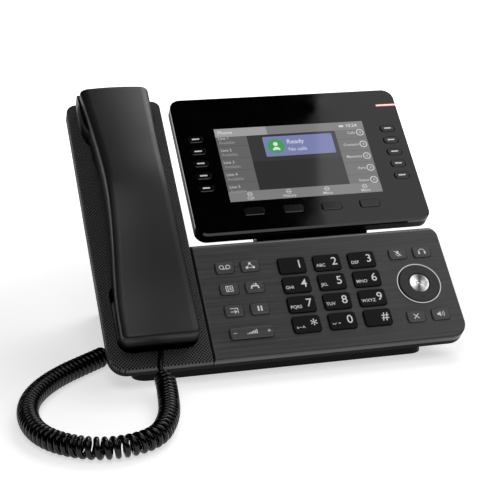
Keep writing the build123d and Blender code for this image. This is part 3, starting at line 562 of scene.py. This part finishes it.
def arc(x, y, radius, width, start=0.0, stop=360.0, sides=40):
    """A stroke along part of a circle, angles in degrees; a full turn is a ring."""
    whole = stop - start >= 360
    angle = np.radians(np.linspace(start, stop, sides + 1))
    if whole:
        angle = angle[:-1]
    spoke = np.stack([np.cos(angle), np.sin(angle)], axis=-1)
    points = np.concatenate([spoke * (radius - width / 2), spoke * (radius + width / 2)]) + (x, y)
    count = len(angle)
    steps = range(count if whole else count - 1)
    return points, [[i, count + i, count + (i + 1) % count, (i + 1) % count] for i in steps]


def stroke(points, width):
    """A thick line through points with mitred corners."""
    line = np.asarray(points, float)
    run = np.diff(line, axis=0)
    run /= np.linalg.norm(run, axis=1)[:, None]
    normal = np.stack([-run[:, 1], run[:, 0]], axis=-1)
    joined = np.concatenate([normal[:1], normal[:-1] + normal[1:], normal[-1:]])
    joined /= np.sum(joined * np.concatenate([normal[:1], normal]), axis=1)[:, None]
    count = len(line)
    outline = np.concatenate([line + joined * width / 2, line - joined * width / 2])
    return outline, [[i, count + i, count + i + 1, i + 1] for i in range(count - 1)]


def letters(words, size, x=0.0, y=0.0, align="CENTER", bold=0.0):
    """Words in the built-in font, as a shape."""
    curve = bpy.data.curves.new("letters", "FONT")
    curve.body, curve.size, curve.offset = words, size, bold
    curve.align_x, curve.align_y = align, "CENTER"
    curve.resolution_u = 5
    mesh = bpy.data.meshes.new_from_object(bpy.data.objects.new("letters", curve))
    points = np.array([tuple(v.co)[:2] for v in mesh.vertices]) + (x, y)
    faces = [list(face.vertices) for face in mesh.polygons]
    bpy.data.meshes.remove(mesh)
    return points, faces


def thick(shapes, x, t, low, high):
    """Points and faces of flat shapes at (x, t) made into thin closed plates from low to high."""
    points, faces = [], []
    for outline, parts in shapes:
        first, count = sum(len(p) for p in points), len(outline)
        points += [panel(x + outline[:, 0], t + outline[:, 1], height) for height in (high, low)]
        edges = {(a, b) for part in parts for a, b in zip(part, part[1:] + part[:1])}
        faces += [[first + i for i in part] for part in parts]
        faces += [[first + count + i for i in reversed(part)] for part in parts]
        faces += [[first + b, first + a, first + count + a, first + count + b]
                  for a, b in sorted(edges) if (b, a) not in edges]
    return np.concatenate(points), faces


def legend(name, shapes, x, t, height, material, body, slot):
    """A printed mark lying on a surface at a height above the panel."""
    mesh = closed(name, *thick(shapes, x, t, height - PRINT_HALF, height + PRINT_HALF))
    link(name, mesh, material, body, slot)


# ---- legends on the keys ----------------------------------------------------------------------
DIGIT_SIZE, STAR_SIZE, STAR_DROP = 8.6, 11.0, 1.6
DIGIT_X = 4.9
SMALL_SIZE, SMALL_X, SMALL_Y = 3.3, -8.2, -2.3
MARKER_DROP = 4.6          # the finding mark lies this far below the middle of the 5 key
dial = (("1", "1", ""), ("2", "2", "ABC"), ("3", "3", "DEF"), ("4", "4", "GHI"), ("5", "5", "JKL"),
        ("6", "6", "MNO"), ("7", "7", "PQRS"), ("8", "8", "TUV"), ("9", "9", "WXYZ"), ("star", "*", ""),
        ("0", "0", ""), ("hash", "#", ""))
extras = {
    "0": [arc(-6.2, -1.2, 1.3, 0.4, 200, 340, 12), box_shape(-3.6, -2.2, -1.8, -1.8)],
    "*": [letters("a", 2.7, -6.8, SMALL_Y, bold=0.02), letters("A", 2.7, -2.6, SMALL_Y, bold=0.02),
          stroke([(-5.8, -2.4), (-3.9, -2.4)], 0.3)],
}
for (name, digit, small), (x, t) in zip(dial, [(x, t) for t in DIAL_ROWS for x in DIAL_COLUMNS]):
    size, low = (STAR_SIZE, -STAR_DROP) if digit == "*" else (DIGIT_SIZE, 0.0)
    shapes = [letters(digit, size, DIGIT_X, low, bold=0.04)]
    if small:
        shapes.append(letters(small, SMALL_SIZE, SMALL_X, SMALL_Y, "LEFT", 0.03))
    shapes += extras.get(digit, [])
    legend(f"legend_dial_{name}", shapes, x, t, DIAL_PRINT_H, white_ink_painted_glow, f"dial_key_{name}", "dial_key")
legend("marker_bar", [box_shape(-1.8, -0.35, 1.8, 0.35)], DIAL_COLUMNS[1], DIAL_ROWS[1] - MARKER_DROP,
       MARKER_BAR_H, finishes["dial_key"], "dial_key_5", "dial_key")

icons = {
    "voicemail": [arc(-2.2, 0.4, 1.4, 0.5), arc(2.2, 0.4, 1.4, 0.5), box_shape(-2.2, -1.25, 2.2, -0.75)],
    "conference": [dot(0, 1.7, 0.95), dot(-2.3, -1.4, 0.95), dot(2.3, -1.4, 0.95),
                   stroke([(-1.7, -0.5), (-0.6, 1.0)], 0.4), stroke([(1.7, -0.5), (0.6, 1.0)], 0.4),
                   stroke([(-1.2, -1.5), (1.2, -1.5)], 0.4)],
    "directory": [stroke([(-2.2, -2), (2.2, -2), (2.2, 2), (-2.2, 2), (-2.2, -2)], 0.5),
                  stroke([(-1.0, -2), (-1.0, 2)], 0.5), dot(0.7, 0.5, 0.6),
                  box_shape(-0.1, -0.9, 1.5, -0.4)],
    "answer": [stroke([(-2.6, -1.4), (-1.9, 0.7), (1.9, 0.7), (2.6, -1.4)], 1.0),
               stroke([(-1.0, 2.0), (1.6, 2.0)], 0.45),
               stroke([(0.7, 2.8), (1.6, 2.0), (0.7, 1.2)], 0.4)],
    "transfer": [stroke([(-2.6, -0.9), (1.0, -0.9)], 0.5),
                 stroke([(0.0, 0.4), (1.4, -0.9), (0.0, -2.2)], 0.5),
                 stroke([(2.4, -2.2), (2.4, 1.6), (-2.6, 1.6)], 0.5)],
    "hold": [box_shape(-1.6, -1.9, -0.5, 1.9), box_shape(0.5, -1.9, 1.6, 1.9)],
    "mute": [box_shape(-0.8, -0.4, 0.8, 2.0), arc(0, 0.0, 1.6, 0.4, 180, 360, 16),
             box_shape(-0.25, -2.5, 0.25, -1.5), stroke([(-2.3, 2.2), (2.3, -2.2)], 0.45)],
    "headset": [arc(0, -0.2, 2.2, 0.45, 0, 180, 20), box_shape(-2.7, -1.9, -1.5, 0.1),
                box_shape(1.5, -1.9, 2.7, 0.1)],
    "cancel": [stroke([(-1.8, -1.8), (1.8, 1.8)], 0.6), stroke([(-1.8, 1.8), (1.8, -1.8)], 0.6)],
    "speaker": [box_shape(-2.6, -0.8, -1.4, 0.8),
                (np.array([(-1.4, -0.8), (0.0, -2.0), (0.0, 2.0), (-1.4, 0.8)]), [[0, 1, 2, 3]]),
                arc(0, 0, 1.4, 0.4, -50, 50, 12), arc(0, 0, 2.5, 0.4, -50, 50, 16)],
}
places = [(x, t) for t in FUNCTION_ROWS for x in FUNCTION_COLUMNS]
places += [(x, t) for t in RIGHT_ROWS for x in RIGHT_COLUMNS]
for (name, shapes), (x, t) in zip(icons.items(), places):
    legend(f"legend_{name}", shapes, x, t, FUNCTION_PRINT_H, white_ink_painted_glow, f"key_{name}", "function_key")
BAR_STEP, BAR_WIDTH, BAR_GROWTH = 1.05, 0.65, 0.42
volume_marks = [box_shape(x, -1.3, x + BAR_WIDTH, -0.8 + BAR_GROWTH * i)
                for i, x in enumerate(-3.4 + BAR_STEP * np.arange(7))]
volume_marks += [box_shape(-12.4, -0.2, -10.2, 0.2), box_shape(10.2, -0.2, 12.4, 0.2)]
volume_marks += [box_shape(11.1, -1.1, 11.5, 1.1)]
legend("legend_volume", volume_marks, *VOLUME_CENTRE, VOLUME_PRINT_H, white_ink_painted_glow, "volume_rocker",
       "function_key")
chevrons = []
for quarter in range(4):
    turn = np.pi / 2 * quarter
    spin = np.array([[np.cos(turn), np.sin(turn)], [-np.sin(turn), np.cos(turn)]])
    chevrons.append(stroke(np.array([(-1.7, 10.2), (0, 11.5), (1.7, 10.2)]) @ spin, 0.75))
legend("legend_arrows", chevrons, *NAV_CENTRE, NAV_PRINT_H, dark_ink_and_shade, "nav_ring", "nav_key")
legend("legend_ok", [letters("OK", 3.2, bold=0.03)], *NAV_CENTRE, OK_PRINT_H, dark_ink_and_shade, "ok_key",
       "ok_metal")
for side, x in zip(("left", "right"), LINE_COLUMNS):
    for row, t in enumerate(LINE_ROWS, 1):
        legend(f"dash_{side}_{row}", [box_shape(-2.6, -0.55, 2.6, 0.55)], x, t, LINE_PRINT_H, white_ink_painted_glow,
               f"line_key_{side}_{row}", "display_key")


# ---- the page on the screen -----------------------------------------------------------------------
def tone(red, green=None, blue=None):
    """A colour given as display tones from 0 to 255, as linear light; one tone alone is a grey."""
    shown = np.array([red, red, red] if green is None else [red, green, blue]) / 255
    return tuple(np.where(shown > 0.04045, ((shown + 0.055) / 1.055) ** 2.4, shown / 12.92)) + (1.0,)


LAYER_STEP, LAYER_THICKNESS = 0.012, 0.02


def page(layers):
    """The lit page: thin plates, each a little above the last, with a tone for every face."""
    points, faces, tones = [], [], []
    for level, (shapes, colour) in enumerate(layers):
        top = PAGE_H + LAYER_STEP * level
        made, parts = thick(shapes, SCREEN_LEFT, SCREEN_TOP, top - LAYER_THICKNESS, top)
        first = sum(len(p) for p in points)
        points.append(made)
        faces += [[first + i for i in part] for part in parts]
        tones += [colour] * len(parts)
    mesh = bpy.data.meshes.new("screen_page")
    mesh.from_pydata(np.concatenate(points).tolist(), [], faces)
    paint = mesh.color_attributes.new("tone", "FLOAT_COLOR", "CORNER")
    corners = [colour for colour, part in zip(tones, faces) for _ in part]
    paint.data.foreach_set("color", np.array(corners, np.float32).ravel())
    mesh.update()
    return mesh


COLUMN, HEADER, FOOTER = 22.5, 7.2, 54.0      # widths and depths of the page's bands
TITLE_WIDTH = 38
CARD_LEFT, CARD_LOW, CARD_RIGHT, CARD_TOP = 33.5, -26.4, 85.0, -9.2
CARD_CORNER = 1.2
PERSON_X = 42.0
NAME_X = 50.5
TEXT_SIZE, SMALL_TEXT = 3.2, 3.1
ROW_DROP = 1.9             # a row of the page lies this far below its line key
RULE_LOW, RULE_HIGH = 5.3, 5.1      # thin rules between rows, below each row's middle
right_edge = SCREEN_WIDTH - COLUMN
corners_x = (CARD_LEFT + CARD_CORNER, CARD_RIGHT - CARD_CORNER)
corners_y = (CARD_LOW + CARD_CORNER, CARD_TOP - CARD_CORNER)
card_body = [box_shape(corners_x[0], CARD_LOW, corners_x[1], CARD_TOP),
             box_shape(CARD_LEFT, corners_y[0], corners_x[0], corners_y[1]),
             box_shape(corners_x[1], corners_y[0], CARD_RIGHT, corners_y[1])]
card_body += [dot(x, y, CARD_CORNER) for x in corners_x for y in corners_y]
rows = [t - SCREEN_TOP - ROW_DROP for t in LINE_ROWS]
rules = [(y - RULE_LOW, y - RULE_HIGH) for y in rows[:-1]]
left_names = ("Line 1", "Line 2", "Line 3", "Line 4", "Line 5")
right_names = ("Calls", "Contacts", "Messages", "Park", "Status")
soft_names = {"Call": 14.8, "History": 42.7, "Menu": 70.5, "More": 98.4}
layers = [
    ([box_shape(0, -SCREEN_HEIGHT, SCREEN_WIDTH, 0)], tone(58)),
    ([box_shape(0, -FOOTER, COLUMN, -HEADER)], tone(102)),
    ([box_shape(right_edge, -FOOTER, SCREEN_WIDTH, -HEADER)], tone(112)),
    ([box_shape(COLUMN, -FOOTER, right_edge, -30)], tone(50)),
    ([box_shape(0, -HEADER, TITLE_WIDTH, 0)], tone(160)),
    ([box_shape(TITLE_WIDTH, -HEADER, SCREEN_WIDTH, 0)], tone(126)),
    ([box_shape(0, -SCREEN_HEIGHT, SCREEN_WIDTH, -FOOTER)], tone(128)),
    ([box_shape(0, low, COLUMN, high) for low, high in rules], tone(70)),
    ([box_shape(right_edge, low, SCREEN_WIDTH, high) for low, high in rules], tone(78)),
    (card_body, tone(124, 130, 176)),
    ([dot(PERSON_X, -17.8, 5.8), arc(PERSON_X, -17.8, 6.0, 0.5)], tone(70, 158, 92)),
    ([dot(PERSON_X, -15.9, 1.7), arc(PERSON_X, -21.2, 1.7, 2.2, 0, 180, 14)], tone(224, 232, 224)),
    ([letters("Ready", 5.2, NAME_X, -14.6, "LEFT", 0.06),
      letters("No calls", 4.2, NAME_X, -21.2, "LEFT", 0.02)], tone(212, 214, 226)),
    ([letters(name, TEXT_SIZE, 1.6, y + 1.6, "LEFT", 0.03)
      for name, y in zip(left_names, rows)], tone(190)),
    ([letters("Available", TEXT_SIZE, 1.6, y - 2.2, "LEFT", 0.02) for y in rows], tone(150)),
    ([letters(name, SMALL_TEXT, SCREEN_WIDTH - 7.6, y, "RIGHT", 0.03)
      for name, y in zip(right_names, rows)], tone(196)),
    ([arc(SCREEN_WIDTH - 4.0, y, 2.5, 0.8) for y in rows], tone(196)),
    ([dot(SCREEN_WIDTH - 3.8, y, 0.9) for y in rows], tone(170)),
    ([box_shape(92.2, -4.6, 95.4, -2.8), box_shape(95.4, -4.1, 95.9, -3.3)], tone(208)),
    ([letters("Phone", 4.2, 2.0, -3.7, "LEFT", 0.05),
      letters("10:24", 4.0, 97.0, -3.7, "LEFT", 0.04)], tone(214)),
    ([box_shape(x - 1.4, -57.1, x + 1.4, -56.5) for x in soft_names.values()], tone(196)),
    ([arc(x, -56.8, 1.6, 0.5) for x in soft_names.values()], tone(196)),
    ([letters(name, SMALL_TEXT, x, -60.2, bold=0.03) for name, x in soft_names.items()], tone(204)),
]
link("screen_page", page(layers), page_light("page_light"), "display", "screen")


# ---- back and underside -----------------------------------------------------------------------------
def painted_shade_marks(name, shapes, height, body, slot):
    """Thin dark plates on a surface that faces away from the panel's front: painted shade standing in for
    the shade inside openings and recesses.
    """
    plates = thick(shapes, 0, 0, height - MARK_HALF, height + MARK_HALF)
    link(name, closed(name, *plates), dark_ink_and_shade, body, slot)


# painted shade: vents, screw heads and speaker slots are dark plates where there is only shade in their
# openings
VENT_LOW, VENT_STEP, VENT_WIDTH, VENT_LENGTH = 176, 4.2, 1.5, 26
vents = [box_shape(x, t, x + VENT_LENGTH, t + VENT_WIDTH)
         for x in (-4, 51) for t in VENT_LOW + VENT_STEP * np.arange(4)]
painted_shade_marks("display_vents", vents, DISPLAY_BACK_H, "display", "display_back")
screw_places = [(x, t) for x in (-23, 96) for t in (130, 188)]
screws = [arc(x, t, 2.6, 0.5) for x, t in screw_places]
screws += [box_shape(x - 1.5, t - 0.3, x + 1.5, t + 0.3) for x, t in screw_places]
painted_shade_marks("display_screws", screws, DISPLAY_BACK_H, "display", "display_back")
slots = [box_shape(-100, t, -75, t + 1.4) for t in range(112, 129, 4)]
painted_shade_marks("speaker_slots", slots, HOUSING_BACK_H, "base", "housing")

# ---- floor and light ------------------------------------------------------------------------
FLOOR_HALF = 6.0                    # metres
GLOW_START, GLOW_STOP = 0.2, 0.6    # metres from the middle between which the floor brightens
NEAR_GLOW, FAR_GLOW = 0.6, 1.1
LOW_WALL, HIGH_WALL = 0.2, 0.006    # light from the studio near the horizon and overhead
WALL_START, WALL_STOP = 0.02, 0.3   # upward parts of a ray between which it falls off
corners = [(x * FLOOR_HALF, y * FLOOR_HALF, 0) for x, y in ((-1, -1), (1, -1), (1, 1), (-1, 1))]
floor_mesh = bpy.data.meshes.new("floor")
floor_mesh.from_pydata(corners, [], [(0, 1, 2, 3)])
floor_paint, tree, shader = principled("floor_paint", Roughness=0.9, Base_Color=(0.8, 0.8, 0.8, 1))
floor = link("floor", floor_mesh, floor_paint, None, None)
place = node(tree, "ShaderNodeTexCoord").outputs["Object"]
away = length(tree, place)
shader.inputs["Emission Color"].default_value = (1, 1, 1, 1)
glow = spread(tree, away, NEAR_GLOW, FAR_GLOW, GLOW_START, GLOW_STOP)
tree.links.new(glow, shader.inputs["Emission Strength"])


def softbox(name, place, aim, width, depth, radiance):
    """A rectangular lamp of even radiance that faces a point."""
    lamp = bpy.data.lights.new(name, "AREA")
    lamp.shape, lamp.size, lamp.size_y = "RECTANGLE", width, depth
    lamp.energy = radiance * np.pi * width * depth
    holder = bpy.data.objects.new(name, lamp)
    bpy.context.scene.collection.objects.link(holder)
    holder.location = place
    back = np.array(place, float) - np.array(aim, float)
    back /= np.linalg.norm(back)
    right = np.cross((0, 1.0, 0), back)
    right /= np.linalg.norm(right)
    turn = np.stack([right, np.cross(back, right), back], axis=-1)
    matrix = holder.matrix_world.copy()
    for row in range(3):
        matrix[row] = (*turn[row], place[row])
    holder.matrix_world = matrix


softbox("overhead_right", (1.12, 0.1, 1.25), (1.12, 0.1, 0.0), 1.4, 2.4, 1.1)
softbox("overhead_left", (-0.33, -0.65, 1.25), (-0.33, -0.65, 0.0), 0.75, 0.95, 1.9)
softbox("back_right", (0.55, 0.75, 1.15), (-0.08, 0.05, 0.15), 0.8, 0.7, 3.0)

world = bpy.data.worlds.new("studio")
world.use_nodes = True
bpy.context.scene.world = world
tree = world.node_tree
ahead = node(tree, "ShaderNodeTexCoord").outputs["Generated"]
upward = node(tree, "ShaderNodeSeparateXYZ", {0: ahead}).outputs[2]
wall = tree.nodes["Background"]
wall.inputs["Color"].default_value = (1, 1, 1, 1)
falling = spread(tree, upward, LOW_WALL, HIGH_WALL, WALL_START, WALL_STOP)
tree.links.new(falling, wall.inputs["Strength"])
white = node(tree, "ShaderNodeBackground", {"Color": (1, 1, 1, 1), "Strength": 1.0})
seen = node(tree, "ShaderNodeLightPath").outputs["Is Camera Ray"]
mixed = node(tree, "ShaderNodeMixShader", {0: seen, 1: wall.outputs[0], 2: white.outputs[0]})
tree.links.new(mixed.outputs[0], tree.nodes["World Output"].inputs["Surface"])
bpy.context.scene.view_settings.view_transform = "Standard"
